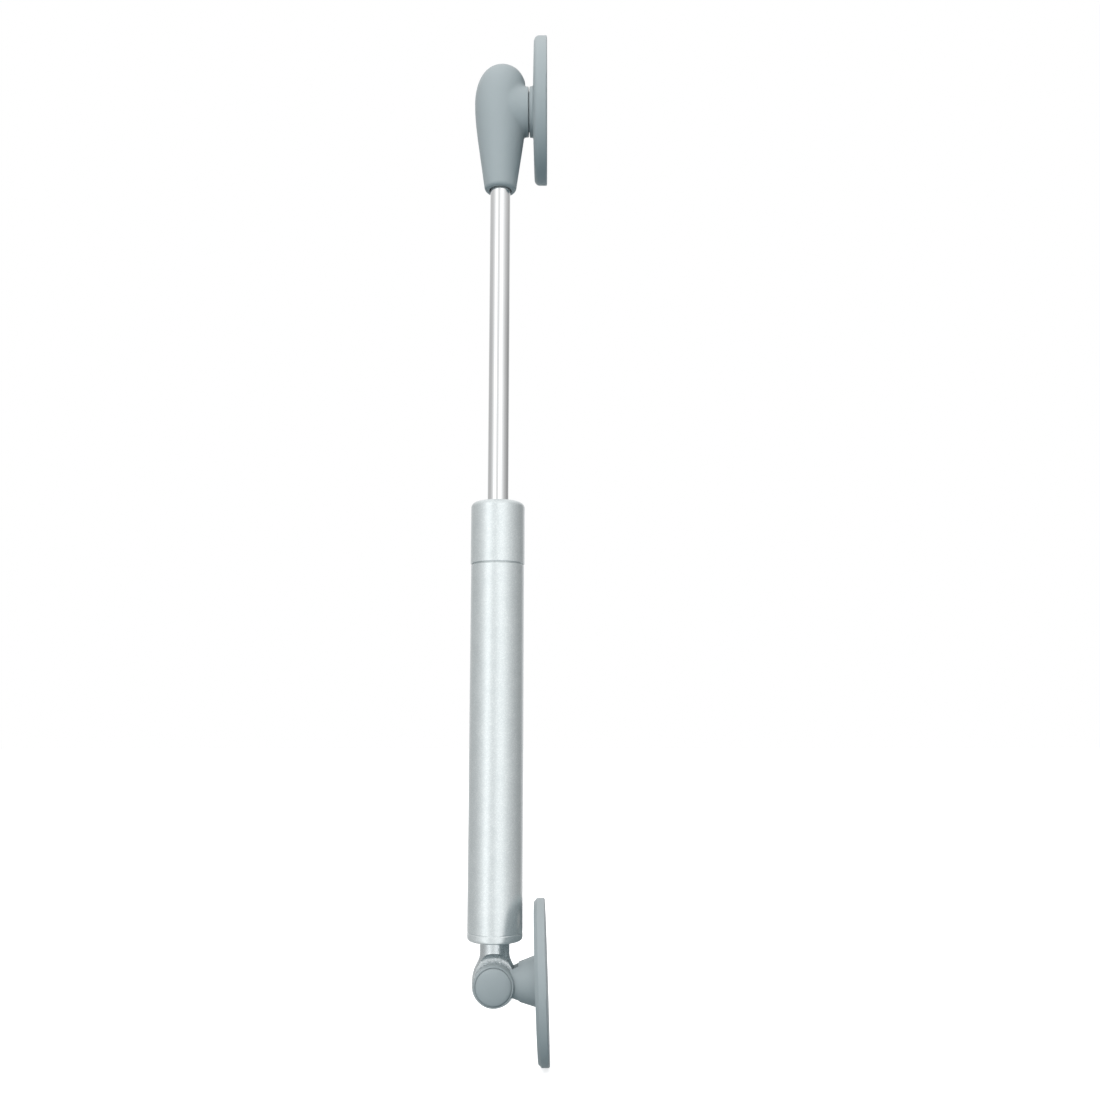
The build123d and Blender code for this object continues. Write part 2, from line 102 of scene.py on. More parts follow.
lens = bpy.data.cameras.new("camera")
lens.lens = FOCAL_LENGTH
lens.sensor_width = SENSOR_WIDTH
lens.clip_start = NEAREST_SEEN
camera = new_object("camera", lens)
camera.location = CAMERA_PLACE
camera.rotation_euler = (radians(90 + CAMERA_TILT), 0, 0)
bpy.context.scene.camera = camera
bpy.context.scene.view_settings.view_transform = "Standard"
print(f"camera {-CAMERA_PLACE[1]:.3f} m in front, tilted up {CAMERA_TILT} degrees")

# %% [markdown]
# ## Shader arithmetic
# A finish is easier to read as a formula than as a page of nodes. A Wire holds one output
# of a node, and adding or multiplying wires adds the Math node that does it. A Recipe is
# one node tree, and its add method makes any other node.


# %% Wires
class Wire:
    """One output of a node; arithmetic on it adds the Math node that works it out."""

    def __init__(self, recipe, socket):
        self.recipe = recipe
        self.socket = socket

    def math(self, operation, *values):
        node = self.recipe.tree.nodes.new("ShaderNodeMath")
        node.operation = operation
        for socket, value in zip(node.inputs, values):
            self.recipe.feed(socket, value)
        return Wire(self.recipe, node.outputs[0])

    def at_least(self, low):
        return self.math("MAXIMUM", self, low)

    def __add__(self, other):
        return self.math("ADD", self, other)

    def __radd__(self, other):
        return self.math("ADD", other, self)

    def __sub__(self, other):
        return self.math("SUBTRACT", self, other)

    def __rsub__(self, other):
        return self.math("SUBTRACT", other, self)

    def __mul__(self, other):
        return self.math("MULTIPLY", self, other)

    def __rmul__(self, other):
        return self.math("MULTIPLY", other, self)

    def __truediv__(self, other):
        return self.math("DIVIDE", self, other)

    def __pow__(self, other):
        return self.math("POWER", self, other)


# %% Recipes
def fill_ramp(ramp, stops):
    """Give a colour ramp these (place, level) stops in grey."""
    while len(ramp.elements) < len(stops):
        ramp.elements.new(1)
    for element, (place, level) in zip(ramp.elements, stops):
        element.position = place
        element.color = (level, level, level, 1)


class Recipe:
    """The node tree of a finish or of the world."""

    def __init__(self, tree):
        self.tree = tree
        self.tree.nodes.clear()

    def feed(self, socket, value):
        """Link the wire to the socket, or write the plain value into it."""
        if isinstance(value, Wire):
            self.tree.links.new(value.socket, socket)
        else:
            socket.default_value = value

    def add(self, kind, settings, values, output=None):
        """A new node, given back as the wire of its named or first output, if it has one.

        The settings go in first, and then the values or wires of the inputs. The setting
        named stops is a grey ramp's list of places and levels.
        """
        node = self.tree.nodes.new(kind)
        for name, setting in settings.items():
            if name == "stops":
                fill_ramp(node.color_ramp, setting)
            else:
                setattr(node, name, setting)
        for name, value in values.items():
            socket = next(s for s in node.inputs if name in (s.identifier, s.name))
            self.feed(socket, value)
        wanted = [s for s in node.outputs if output in (None, s.identifier, s.name)]
        return Wire(self, wanted[0]) if wanted else None

    def blend(self, share, first, second):
        """The first colour where share is 0 and the second where it is 1."""
        values = {"Factor_Float": share, "A_Color": first, "B_Color": second}
        return self.add("ShaderNodeMix", {"data_type": "RGBA"}, values, output="Result_Color")

    def noise(self, place, scale, detail=2.0, roughness=0.5):
        """Soft noise with that many features in a metre."""
        values = {"Vector": place, "Scale": scale, "Detail": detail, "Roughness": roughness}
        return self.add("ShaderNodeTexNoise", {}, values)

    def stretched(self, place, along):
        """Coordinates in which a pattern is that many times finer along Z."""
        values = {"Vector": place, "Scale": (1, 1, along)}
        return self.add("ShaderNodeMapping", {}, values)

    def bump(self, height, depth):
        """Normals of a surface whose height, from 0 to 1, stands for that many metres."""
        values = {"Height": height, "Distance": depth, "Strength": 1.0}
        return self.add("ShaderNodeBump", {}, values)

    def light_path(self, ray):
        """1 for rays of that kind and 0 for the others."""
        return self.add("ShaderNodeLightPath", {}, {}, output=ray)


# %% [markdown]
# ## The studio
# The picture is lit from all round by large soft panels, a bit brighter from above and
# from the side away from the plates. Polished metal shows what stands round it, so its
# stripes come from the panels: two tall ones in front, with the gap between them darker,
# two slim ones behind, and a dimmer wall on the plates' side. That room is painted into
# the world as levels by compass angle, under a white ceiling, and only glossy rays see
# it. Camera rays see plain white, and diffuse rays see one even level.

# %% Levels round the room
# Each row is the angle from the camera's side towards +X, in degrees, and the level there
ROOM = [
    (-180, 0.60),
    (-172, 0.78),
    (-146, 0.78),
    (-138, 0.52),
    (-88, 0.55),
    (-66, 0.80),
    (-50, 1.15),
    (-42, 1.55),
    (-30, 1.55),
    (-20, 0.90),
    (-4, 0.84),
    (8, 1.35),
    (30, 1.35),
    (44, 1.00),
    (70, 0.62),
    (92, 0.46),
    (112, 0.34),
    (136, 0.34),
    (150, 0.90),
    (172, 0.90),
    (180, 0.60),
]
BRIGHTEST = 1.6
CEILING_LEVEL = 1.00
CEILING_SLOPE = 1.7
CEILING_START = 0.58
CEILING_SOFTNESS = 0.1
DIFFUSE_LEVEL = 0.52
WHITE = (1, 1, 1, 1)

world = bpy.data.worlds.new("studio")
world.use_nodes = True
bpy.context.scene.world = world
room = Recipe(world.node_tree)
direction = room.add("ShaderNodeTexCoord", {}, {}, output="Generated")
split = room.tree.nodes.new("ShaderNodeSeparateXYZ")
room.feed(split.inputs[0], direction)
east, north, up = (Wire(room, socket) for socket in split.outputs)
turn = east.math("ARCTAN2", east, 0 - north) / radians(360) + 0.5
stops = [((angle + 180) / 360, level / BRIGHTEST) for angle, level in ROOM]
wall = room.add("ShaderNodeValToRGB", {"stops": stops}, {"Fac": turn}) * BRIGHTEST
height = (up * CEILING_SLOPE - CEILING_START).at_least(0.0)
height = height.math("SMOOTH_MIN", height, 1.0, CEILING_SOFTNESS)
panels = wall * (1 - height) + CEILING_LEVEL * height
level = DIFFUSE_LEVEL + (panels - DIFFUSE_LEVEL) * room.light_path("Is Glossy Ray")
level = level + (1 - level) * room.light_path("Is Camera Ray")
glow = room.add("ShaderNodeBackground", {}, {"Strength": level, "Color": WHITE})
room.add("ShaderNodeOutputWorld", {}, {"Surface": glow})
print(f"{len(ROOM)} levels round the room")

# %% [markdown]
# ## Lamps
# Soft panels also give the plastic its gentle shading. Five area lamps stand where the
# panels are. Glossy rays don't see them, because the room above already shows the panels.

# %% Lamps
# Each row is a name, a place in metres, the panel's width and height, and its power in watts
LAMPS = [
    ("key", (-0.45, -0.95, 0.45), 0.5, 0.9, 3.2),
    ("fill", (-0.03, -0.42, 0.01), 0.2, 0.2, 0.85),
    ("back_key", (-0.60, 0.95, 0.50), 0.5, 0.9, 4.0),
    ("back_fill", (0.55, 1.00, 0.15), 0.4, 0.9, 2.0),
    ("top", (-0.1, -0.1, 0.9), 0.7, 0.7, 1.8),
]
LAMP_AIM = Vector((-0.010, 0, -0.13))

for name, place, wide, tall, watts in LAMPS:
    panel = bpy.data.lights.new(name, "AREA")
    panel.shape = "RECTANGLE"
    panel.size = wide
    panel.size_y = tall
    panel.energy = watts
    lamp = new_object(name, panel)
    lamp.location = place
    lamp.rotation_euler = (LAMP_AIM - Vector(place)).to_track_quat("-Z", "Y").to_euler()
    lamp.visible_glossy = False
    lamp.visible_camera = False
print(f"{len(LAMPS)} lamps, {sum(row[-1] for row in LAMPS):.2f} W together")

# %% [markdown]
# ## The floor
# A pale sheet lies just under the lower plate. It could be a flat white emitter, but then
# it would hide the shadow, so it is a lit white surface with a glow of its own that only
# the camera sees. To all other rays it is a darker, bluer sheet, so that it throws little
# light up at the strut.

# %% Floor
FLOOR_GAP = 0.0008
FLOOR_HALF = 4.0
FLOOR_WHITE = (0.95, 0.95, 0.95, 1)
FLOOR_BOUNCE = (0.18, 0.26, 0.29, 1)
FLOOR_GLOW = 0.58

floor_z = cad_box[0][2] - FLOOR_GAP
signs = ((-1, -1), (1, -1), (1, 1), (-1, 1))
corners = [(x * FLOOR_HALF, y * FLOOR_HALF, floor_z) for x, y in signs]
floor_mesh = bpy.data.meshes.new("floor")
floor_mesh.from_pydata(corners, [], [(0, 1, 2, 3)])
floor = new_object("floor", floor_mesh)
floor.visible_glossy = False
paper = bpy.data.materials.new("pale_sheet")
paper.use_nodes = True
sheet = Recipe(paper.node_tree)
seen = sheet.light_path("Is Camera Ray")
tone = sheet.blend(seen, FLOOR_BOUNCE, FLOOR_WHITE)
matt = sheet.add("ShaderNodeBsdfDiffuse", {}, {"Color": tone})
own = sheet.add("ShaderNodeEmission", {}, {"Color": WHITE, "Strength": seen * FLOOR_GLOW})
both = sheet.add("ShaderNodeAddShader", {}, {"Shader": matt, "Shader_001": own})
sheet.add("ShaderNodeOutputMaterial", {}, {"Surface": both})
floor.data.materials.append(paper)
print(f"floor at z {floor_z:.4f}")

# %% [markdown]
# ## Moulded plastic
# The head, both plates and the pin are moulded in one grey plastic. Its skin copies the
# spark-eroded mould: a grain of about a fifth of a millimetre, softly satin. Real parts
# are never one even grey, so a slow cloud shifts the tone by a few percent.


# %% Moulded plastic
def finish(name, build):
    """A material of one shader, whose sockets the given function works out."""
    material = bpy.data.materials.new(name)
    material.use_nodes = True
    recipe = Recipe(material.node_tree)
    place = recipe.add("ShaderNodeTexCoord", {}, {}, output="Object")
    sockets = build(recipe, place)
    shader = recipe.add("ShaderNodeBsdfPrincipled", {}, sockets)
    recipe.add("ShaderNodeOutputMaterial", {}, {"Surface": shader})
    print(f"{name}: {len(recipe.tree.nodes)} nodes")
    return material


# In all finishes a noise's scale is its features in a metre, and a depth is in metres
PLASTIC_DARK = (0.362, 0.408, 0.422, 1)
PLASTIC_LIGHT = (0.400, 0.448, 0.464, 1)
PLASTIC_CLOUD, PLASTIC_GRAIN, PLASTIC_DEPTH = 90.0, 4200.0, 0.000012


def moulded_plastic(recipe, place):
    cloud = recipe.noise(place, PLASTIC_CLOUD, detail=3.0)
    grain = recipe.noise(place, PLASTIC_GRAIN)
    return {
        "Base Color": recipe.blend(cloud, PLASTIC_DARK, PLASTIC_LIGHT),
        "Roughness": 0.40 + 0.12 * grain + 0.06 * cloud,
        "IOR": 1.47,
        "Normal": recipe.bump(grain, PLASTIC_DEPTH),
    }


plastic = finish("moulded_plastic", moulded_plastic)

# %% [markdown]
# ## Silver paint
# The tube and its cap are sprayed with silver paint: tiny metal flakes lie at slightly
# different angles under a thin clear coat. Each flake is a cell of a Voronoi pattern with
# its own tone, and that tone is painted glint: it stands in for the light that a flake
# catches at its angle. The clear coat has the faint orange peel of a sprayed skin. Cubing
# the cells' tones leaves a few bright painted glints among many dull flakes, and a slow
# cloud adds the paint's own uneven tone.

# %% Silver paint
PAINT_DARK = (0.62, 0.67, 0.68, 1)
# The lighter tone is reached by the painted glints of bright flakes, and it is also the light
# end of the paint's own cloud
PAINT_LIGHT_AND_GLINT = (0.93, 0.97, 0.97, 1)
FLAKES, PAINT_CLOUD = 5200.0, 260.0
PEEL, PEEL_DEPTH = 1100.0, 0.000006


def silver_paint(recipe, place):
    cells = {"Vector": place, "Scale": FLAKES}
    # Each flake's tone, cubed, is painted glint: the bright flakes stand in for flakes that
    # catch the light
    flake = recipe.add("ShaderNodeTexVoronoi", {"feature": "F1"}, cells, output="Color")
    flake_glint = recipe.add("ShaderNodeSeparateColor", {}, {"Color": flake}, output="Red")
    cloud = recipe.noise(place, PAINT_CLOUD, detail=4.0, roughness=0.6)
    peel = recipe.noise(place, PEEL, detail=1.0)
    # Painted glint from the flakes plus the paint's own uneven cloud tone
    share = 0.45 * flake_glint ** 3 + 0.45 * cloud
    return {
        "Base Color": recipe.blend(share, PAINT_DARK, PAINT_LIGHT_AND_GLINT),
        "Metallic": 0.72,
        "Roughness": 0.29 + 0.06 * cloud,
        "Coat Weight": 0.25,
        "Coat Roughness": 0.12,
        "Normal": recipe.bump(peel, PEEL_DEPTH),
    }


paint = finish("silver_paint", silver_paint)

# %% [markdown]
# ## Chrome
# The rod is ground and hard-chromed. Grinding leaves hair-fine rings round it, so the
# roughness and the bump change quickly along Z and hardly at all round the rod.

# %% Chrome
CHROME_DARK = (0.80, 0.81, 0.82, 1)
CHROME_LIGHT = (0.88, 0.89, 0.89, 1)
CHROME_RINGS, RING_STRETCH, RING_DEPTH = 120.0, 60, 0.0000006
CHROME_HAZE = 60.0


def ground_chrome(recipe, place):
    rings = recipe.noise(recipe.stretched(place, RING_STRETCH), CHROME_RINGS, detail=3.0)
    haze = recipe.noise(place, CHROME_HAZE)
    return {
        "Base Color": recipe.blend(haze, CHROME_DARK, CHROME_LIGHT),
        "Metallic": 1.0,
        "Roughness": 0.07 + 0.07 * rings,
        "Normal": recipe.bump(rings, RING_DEPTH),
    }


chrome = finish("ground_chrome", ground_chrome)

# %% [markdown]
# ## Zinc, brass, alloy, black plastic and rubber
# Zinc plating is bright but mottled: one tone, with a spangle that changes how sharply it
# reflects. The brass insert, the piston and the plug are turned, so their marks run round
# them. The pieces inside the tube get finishes as well, because the part is reused, and
# someone will open it.

# %% Zinc and the inner finishes
ZINC_TONE = (0.63, 0.675, 0.69, 1)
SPANGLE, SPANGLE_DEPTH = 1500.0, 0.00008
TURNING, TURNING_STRETCH, TURNING_DEPTH = 160.0, 40, 0.000004
BLACK_GRAIN, BLACK_DEPTH = 2600.0, 0.00001


def bright_zinc(recipe, place):
    spangle = recipe.noise(place, SPANGLE, detail=3.0, roughness=0.6)
    return {
        "Base Color": ZINC_TONE,
        "Metallic": 0.95,
        "Roughness": 0.16 + 0.24 * spangle,
        "Normal": recipe.bump(spangle, SPANGLE_DEPTH),
    }


def turned_metal(dark, light):
    """A turned finish between two tones."""

    def build(recipe, place):
        rings = recipe.noise(recipe.stretched(place, TURNING_STRETCH), TURNING, detail=3.0)
        return {
            "Base Color": recipe.blend(rings, dark, light),
            "Metallic": 1.0,
            "Roughness": 0.26 + 0.16 * rings,
            "Normal": recipe.bump(rings, TURNING_DEPTH),
        }

    return build


def dark_skin(dark, light, roughness):
    """A moulded black skin between two tones, with at least that roughness."""

    def build(recipe, place):
        grain = recipe.noise(place, BLACK_GRAIN, detail=3.0)
        return {
            "Base Color": recipe.blend(grain, dark, light),
            "Roughness": roughness + 0.12 * grain,
            "Normal": recipe.bump(grain, BLACK_DEPTH),
        }

    return build


turned_brass = turned_metal((0.62, 0.44, 0.17, 1), (0.80, 0.62, 0.30, 1))
turned_alloy = turned_metal((0.62, 0.63, 0.64, 1), (0.80, 0.81, 0.82, 1))
black_moulding = dark_skin((0.022, 0.022, 0.024, 1), (0.04, 0.04, 0.043, 1), 0.42)
seal_rubber = dark_skin((0.012, 0.012, 0.012, 1), (0.028, 0.028, 0.028, 1), 0.6)

# %% Which finish each piece has
FINISHES = {
    "grey_plastic": plastic,
    "silver_paint": paint,
    "rod_chrome": chrome,
    "plated_steel": finish("bright_zinc", bright_zinc),
    "insert_brass": finish("turned_brass", turned_brass),
    "piston_alloy": finish("turned_alloy", turned_alloy),
    "black_plastic": finish("black_moulding", black_moulding),
    "seal_rubber": finish("seal_rubber", seal_rubber),
}
SLOTS = {part["node"]: part["material_slot"] for part in frame["record"]["subparts"]}
for node, slot_name in SLOTS.items():
    for material_slot in nodes[node].material_slots:
        material_slot.material = FINISHES[slot_name]
print(f"{len(SLOTS)} pieces, {len(FINISHES)} finishes")

# %% [markdown]
# ## Surfaces from formulas
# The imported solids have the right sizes, but their curves are made of facets and their
# corners are sharp or plainly bevelled. The pieces that show most are made again on the same
# sizes as fine closed grids. Spinning a curve would do for the round ones, but a grid of
# points worked out with numpy also serves the head and the pin, which no spin can make.


# %% Outlines
def unit(vectors):
    """The rows' directions, each of length 1, and their lengths."""
    length = np.linalg.norm(vectors, axis=1, keepdims=True)
    return vectors / length, length


def rounded(corners, steps=6, support=0.08):
    """An outline through rows of (radius, height, rounding), with an arc in each corner.

    Each arc touches both sides at rounding times the tangent of half the turn from the
    corner. A point just past each end keeps the shading of a long side even. The first and
    the last row are ends and stay as they are.
    """
    rows = np.array(corners, float)
    place, rounding = rows[1:-1, :2], rows[1:-1, 2:]
    back, back_length = unit(rows[:-2, :2] - place)
    ahead, ahead_length = unit(rows[2:, :2] - place)
    turn = np.arccos(np.clip(-(back * ahead).sum(1, keepdims=True), -1, 1))
    touch = rounding * np.tan(turn / 2)
    first, last = back * touch, ahead * touch
    centre = unit(back + ahead)[0] * rounding / np.cos(turn / 2)
    share = np.linspace(0, 1, steps + 1)[None, :, None]
    angle = turn[:, :, None]
    spokes = np.sin((1 - share) * angle) * (first - centre)[:, None]
    spokes = spokes + np.sin(share * angle) * (last - centre)[:, None]
    arcs = centre[:, None] + spokes / np.sin(angle)
    before = first + back * np.minimum(support, (back_length - touch) / 4)
    after = last + ahead * np.minimum(support, (ahead_length - touch) / 4)
    bends = np.concatenate([before[:, None], arcs, after[:, None]], axis=1) + place[:, None]
    return np.concatenate([rows[:1, :2], bends.reshape(-1, 2), rows[-1:, :2]])


print(f"a rounded corner has {len(rounded([(0, 0, 0), (1, 0, 0.2), (1, 1, 0)])) - 2} points")


# %% Grids of points
def turned(outline, sides=128):
    """Rings of points: an outline of (radius, height) turned about Z in that many steps."""
    turn = np.linspace(0, 2 * np.pi, sides, endpoint=False)
    radius, height = outline[:, :1], outline[:, 1:]
    level = np.broadcast_to(height, (len(outline), sides))
    return np.stack([radius * np.cos(turn), radius * np.sin(turn), level], axis=-1)


def numbered(grid, first=0):
    """The number of each point of a grid, counted row by row from the first."""
    return np.arange(grid.shape[0] * grid.shape[1]).reshape(grid.shape[:2]) + first


def between(rows):
    """Quads between neighbouring rows of point numbers, each row closed on itself."""
    beside = np.roll(rows, -1, axis=1)
    return np.stack([rows[:-1], beside[:-1], beside[1:], rows[1:]], axis=-1)


# %% From points to a piece
# Points nearer than WELD, in metres, become one, and edges that bend by more than SHARP show
STRUT_X = -14.0
WELD = 1e-7
SHARP = radians(38)


def add_piece(name, node, points, faces=None):
    """A closed mesh from points in millimetres about the strut's axis, in place of a CAD node.

    Rings of points need no faces: each ring is joined to the next one. Points that meet, as
    in a ring of radius 0 or where the last ring is the first again, become one.
    """
    if faces is None:
        faces = between(numbered(points))
    places = (points.reshape(-1, 3) + np.array([STRUT_X, 0, 0])) * MM
    mesh = bpy.data.meshes.new(name)
    mesh.from_pydata(places, [], faces.reshape(-1, 4).tolist())
    work = bmesh.new()
    work.from_mesh(mesh)
    bmesh.ops.remove_doubles(work, verts=work.verts, dist=WELD)
    bmesh.ops.recalc_face_normals(work, faces=work.faces)
    open_edges = sum(not edge.is_manifold for edge in work.edges)
    work.to_mesh(mesh)
    work.free()
    mesh.shade_smooth()
    mesh.set_sharp_from_angle(angle=SHARP)
    mesh.materials.append(FINISHES[SLOTS[node]])
    piece = new_object(name, mesh)
    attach(piece, nodes[node]["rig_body"])
    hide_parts(node)
    print(f"{name}: {len(mesh.polygons)} faces, {open_edges} open edges")


# %% [markdown]
# ## Rod, tube and cap
# All three are turned parts, so each is one outline carried round the strut's axis. The
# rod's outline goes from tip to tip. The tube's and the cap's go out along the outer wall
# and back along the bore to where they started. The cap's lower edge and the tube's
# shoulder face each other across the seam, and the tube's lower end is rolled inwards.

# %% Rod
# Radii, and heights from the upper pivot, in millimetres. The third number of a row is the
# rounding of that corner, and EDGE is the usual one
EDGE = 0.1
ROD, THREAD, SPIGOT, PEEN = 3.0, 2.5, 2.0, 2.6
THREAD_TOP, THREAD_END = -7.0, -16.0
ROD_END, SPIGOT_END, ROD_TIP = -135.15, -142.75, -143.75

rod_outline = rounded([
    (0, THREAD_TOP, 0),
    (THREAD, THREAD_TOP, 0.4),
    (THREAD, THREAD_END, EDGE),
    (ROD, THREAD_END, 0.15),
    (ROD, ROD_END, EDGE),
    (SPIGOT, ROD_END, EDGE),
    (SPIGOT, SPIGOT_END, EDGE),
    (PEEN, SPIGOT_END, 0.15),
    (PEEN, ROD_TIP, 0.3),
    (0, ROD_TIP, 0),
])
add_piece("ground_rod", "rod", turned(rod_outline))

# %% Tube
TUBE, BORE, NECK = 7.5, 6.5, 7.05
LIP, LIP_MIDDLE, ROLL = 5.0, 6.0, 4.9
TUBE_TOP, LIP_END, SHOULDER = -122.55, -123.35, -139.4
ROLL_TOP, TUBE_END = -240.5, -241.5
BEAD, BEAD_OUTER, BEAD_INNER = -135.4, 6.78, 6.15
BEAD_HALF_OUTER, BEAD_HALF_INNER = 0.4, 0.5
ROLL_LINE, ROLL_LINE_FLOOR, ROLL_LINE_HALF = -239.35, 7.36, 0.23
TUBE_SIDES = 160

tube_outline = rounded([
    (LIP_MIDDLE, TUBE_TOP, 0),
    (NECK, TUBE_TOP, 0.15),
    (NECK, BEAD + BEAD_HALF_OUTER, EDGE),
    (BEAD_OUTER, BEAD, 0.3),
    (NECK, BEAD - BEAD_HALF_OUTER, EDGE),
    (NECK, SHOULDER, EDGE),
    (TUBE, SHOULDER, 0.28),
    (TUBE, ROLL_LINE + ROLL_LINE_HALF, 0.2),
    (ROLL_LINE_FLOOR, ROLL_LINE, 0.08),
    (TUBE, ROLL_LINE - ROLL_LINE_HALF, 0.2),
    (TUBE, TUBE_END, 0.9),
    (ROLL, TUBE_END, 0.2),
    (ROLL, ROLL_TOP, EDGE),
    (BORE, ROLL_TOP, EDGE),
    (BORE, BEAD - BEAD_HALF_INNER, EDGE),
    (BEAD_INNER, BEAD, 0.3),
    (BORE, BEAD + BEAD_HALF_INNER, EDGE),
    (BORE, LIP_END, EDGE),
    (LIP, LIP_END, EDGE),
    (LIP, TUBE_TOP, EDGE),
    (LIP_MIDDLE, TUBE_TOP, 0),
])
add_piece("painted_tube", "tube", turned(tube_outline, sides=TUBE_SIDES))

# %% Cap
CAP, CAP_BORE, CAP_HOLE, CAP_MIDDLE = 7.65, 7.07, 3.4, 5.0
CAP_TOP, CAP_END = -121.35, -139.1

cap_outline = rounded([
    (CAP_MIDDLE, CAP_TOP, 0),
    (CAP, CAP_TOP, 1.5),
    (CAP, CAP_END, 0.22),
    (CAP_BORE, CAP_END, EDGE),
    (CAP_BORE, TUBE_TOP, EDGE),
    (CAP_HOLE, TUBE_TOP, EDGE),
    (CAP_HOLE, CAP_TOP, 0.3),
    (CAP_MIDDLE, CAP_TOP, 0),
], steps=10)
add_piece("painted_cap", "front_cap", turned(cap_outline, sides=TUBE_SIDES))

# %% [markdown]
# ## The head
# The head is a moulding: a domed crown, a belly, and a flank that narrows to the rod, with
# a round collar that grows out of one side. The crown is a superellipse, and the flank
# falls by a quartic through three measures. The collar is the hard part, because a fillet
# between a tapered body and a cylinder has no simple formula. Here a window is cut in the
# body's grid, and rings run from its frame over the body, along a cubic curve that leaves
# the body and arrives on the collar, round the collar's edge, and into the stud's bore.

# %% The head's outline
BELLY, BELLY_Z, TOP_Z = 7.9, 2.2, 14.4
FOOT, FOOT_Z, FOOT_SLOPE = 4.65, -25.7, 0.14
WAIST, WAIST_Z = 6.875, -9.8
CROWN_POWER = 2.55
CROWN_SHIFT = 0.5

# The flank's radius falls by three powers of the drop below the belly, with shares that
# meet the waist, the foot and the slope at the foot
waist_drop, foot_drop = BELLY_Z - WAIST_Z, BELLY_Z - FOOT_Z
powers = np.array([2, 3, 4])
conditions = np.array([
    waist_drop ** powers,
    foot_drop ** powers,
    powers * foot_drop ** (powers - 1),
])
flank = np.linalg.solve(conditions, [BELLY - WAIST, BELLY - FOOT, FOOT_SLOPE])
print(f"flank coefficients {flank.round(6)}")


def crown_share(z):
    """How far up the crown a height is: 0 at the belly and below it, 1 at the top."""
    return np.clip((z - BELLY_Z) / (TOP_Z - BELLY_Z), 0, 1)


def head_radius(z):
    """Radius at a height: a superellipse above the belly, and a quartic in the drop below it."""
    drop = np.maximum(BELLY_Z - z, 0)
    crown = (1 - crown_share(z) ** CROWN_POWER) ** (1 / CROWN_POWER)
    return BELLY * crown - (flank * drop[..., None] ** powers).sum(-1)


def head_shift(z):
    """How far the crown's middle leans to the plate: it rises smoothly from belly to top."""
    share = crown_share(z)
    return CROWN_SHIFT * share ** 2 * (3 - 2 * share)


def on_head(y, z):
    """The point of the body's skin on the plate's side, straight above (y, z)."""
    return np.stack([head_shift(z) + np.sqrt(head_radius(z) ** 2 - y ** 2), y, z], axis=-1)


# %% The head's body
CROWN_STEPS, FLANK_STEPS, HEAD_SIDES = 48, 53, 144
RECESS, RECESS_TOP = 3.35, -24.1
ROD_HOLE, INSERT_HOLE = 3.02, 4.02

crown_turn = np.linspace(0, np.pi / 2, CROWN_STEPS + 1)
crown_z = BELLY_Z + (TOP_Z - BELLY_Z) * np.cos(crown_turn) ** (2 / CROWN_POWER)
flank_z = np.linspace(BELLY_Z, RECESS_TOP, FLANK_STEPS + 1)[1:]
body_z = np.concatenate([crown_z, flank_z])
body_r = head_radius(body_z)
body_r[0] = 0
foot = rounded([
    (body_r[-1], RECESS_TOP, 0),
    (FOOT, FOOT_Z, 1.2),
    (RECESS, FOOT_Z, EDGE),
    (RECESS, RECESS_TOP, EDGE),
    (ROD_HOLE, RECESS_TOP, EDGE),
    (ROD_HOLE, THREAD_END, EDGE),
    (INSERT_HOLE, THREAD_END, EDGE),
    (INSERT_HOLE, THREAD_TOP, EDGE),
    (0, THREAD_TOP, 0),
])
body = turned(np.concatenate([np.stack([body_r, body_z], axis=-1), foot[1:]]), HEAD_SIDES)
body[..., 0] += head_shift(body[..., 2])
body = np.roll(body, HEAD_SIDES // 2, axis=1)
print(f"the body has {body.shape[0]} rings of {body.shape[1]} points")

# %% The window in the body
# After the roll the plate's side is the middle column, so the window lies about it
WINDOW_TOP, WINDOW_FOOT, WINDOW_HALF = 10.3, -9.6, 32
first_column, last_column = HEAD_SIDES // 2 - WINDOW_HALF, HEAD_SIDES // 2 + WINDOW_HALF

numbers = numbered(body)
inside = np.flatnonzero((body_z < WINDOW_TOP) & (body_z > WINDOW_FOOT))
high, low = inside[0], inside[-1]
window_frame = np.concatenate([
    numbers[high, first_column:last_column + 1],
    numbers[high + 1:low + 1, last_column],
    numbers[low, first_column:last_column][::-1],
    numbers[high + 1:low, first_column][::-1],
])
kept = np.ones((body.shape[0] - 1, body.shape[1]), bool)
kept[high:low, first_column:last_column] = False
body_faces = between(numbers)[kept]
print(f"the window's frame has {len(window_frame)} points")

# %% The collar
# The landing is the line on the body where the blend starts, by its reach from the axis
# of the collar, and LANDING_STEP is how far ahead its slope is read
COLLAR, COLLAR_FACE, COLLAR_WALL = 7.2, 8.4, 8.0
LANDING_SIDE, LANDING_TOP, LANDING_FOOT = 7.65, 9.7, 8.5
LANDING_STEP = 0.01
BODY_RINGS, BLEND_RINGS = 6, 14
STUD_BORE, STUD_BORE_END = 3.05, -6.0
CLIP_GROOVE, GROOVE_TOP, GROOVE_END = 4.3, -1.95, -2.95

rim = body.reshape(-1, 3)[window_frame]
around = np.arctan2(rim[:, 2], rim[:, 1])
reach = np.hypot(rim[:, 1], rim[:, 2])
landing_end = np.where(rim[:, 2] > 0, LANDING_TOP, LANDING_FOOT)
landing = LANDING_SIDE + (landing_end - LANDING_SIDE) * np.sin(around) ** 2


def at_reach(distance):
    """Points on the body at that distance from the collar's axis, one for each direction."""
    return on_head(distance * np.cos(around), distance * np.sin(around))


def about_x(radius, x):
    """A ring of points about the collar's axis, in the window's directions."""
    ring = np.stack([np.zeros_like(around), np.cos(around), np.sin(around)], axis=-1)
    return ring * radius + np.array([x, 0, 0])


